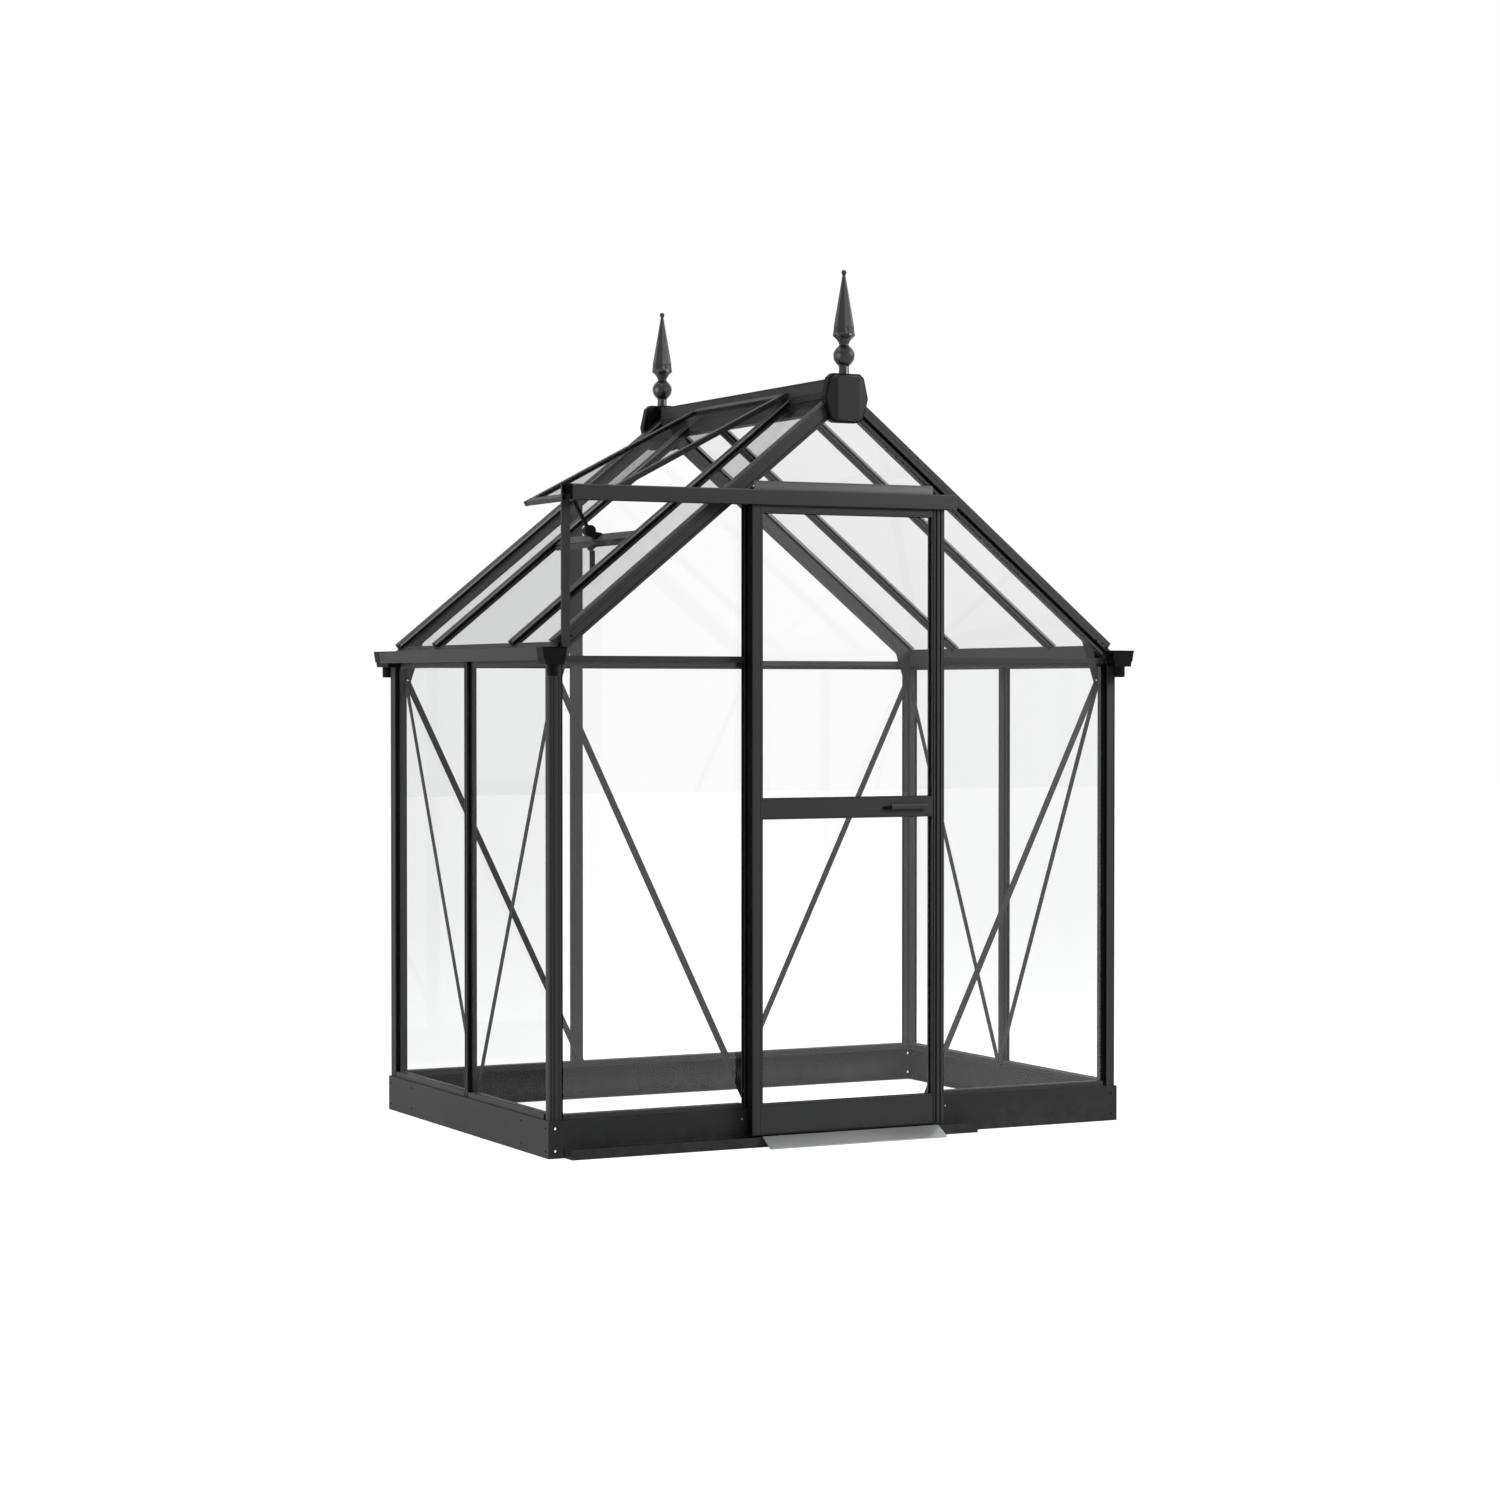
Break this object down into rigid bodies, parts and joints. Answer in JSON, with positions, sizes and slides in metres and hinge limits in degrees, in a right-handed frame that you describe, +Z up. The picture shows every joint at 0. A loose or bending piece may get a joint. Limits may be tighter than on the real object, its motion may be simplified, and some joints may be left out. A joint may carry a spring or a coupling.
{
  "type": "glass greenhouse",
  "caption": "Small free-standing glass greenhouse with a pitched roof, an open roof vent, gutters, ridge finials and one sliding door on a steel base.",
  "frame": {"origin": "middle of the outline at ground level", "axes": "+X to the right along the door gable, +Y from the door gable to the back, +Z up"},
  "size_m": [1.9992, 1.434, 2.5944],
  "materials": {
    "frame_paint": "satin grey powder coat on aluminium",
    "base_steel": "black powder coat on steel",
    "black_plastic": "moulded, satin",
    "glass": "clear, polished",
    "bare_alloy": "mill finish"
  },
  "bodies": {
    "house": {"base_left": "base_steel", "base_right": "base_steel", "base_back": "base_steel", "base_front": "base_steel", "base_brackets": "base_steel", "threshold": "bare_alloy", "sills": "frame_paint", "post_front_left": "frame_paint", "post_front_right": "frame_paint", "post_back_left": "frame_paint", "post_back_right": "frame_paint", "door_posts": "frame_paint", "back_bars": "frame_paint", "side_bars": "frame_paint", "front_crossbars": "frame_paint", "back_crossbars": "frame_paint", "eave_beam_left": "frame_paint", "eave_beam_right": "frame_paint", "gutter_ends": "black_plastic", "rafters_front": "frame_paint", "rafters_back": "frame_paint", "roof_bars": "frame_paint", "ridge_beam": "frame_paint", "ridge_ends": "black_plastic", "finials": "black_plastic", "gussets": "frame_paint", "side_braces": "frame_paint", "gable_braces": "frame_paint", "side_glass": "glass", "back_glass": "glass", "front_glass": "glass", "roof_glass_left": "glass", "roof_glass_right": "glass", "vent_sill": "frame_paint", "vent_frame": "frame_paint", "vent_glass": "glass", "vent_opener": "black_plastic", "door_header": "frame_paint", "header_strut": "frame_paint", "bottom_rail": "frame_paint", "ramp": "bare_alloy"},
    "door": {"door_frame": "frame_paint", "door_glass": "glass", "kick_panel": "frame_paint", "door_handle": "black_plastic", "door_rollers": "black_plastic"}
  },
  "joints": [
    {"name": "door_slide", "type": "slide", "parent": "house", "child": "door", "axis": [-1, 0, 0], "range_m": [0, 0.585]}
  ]
}
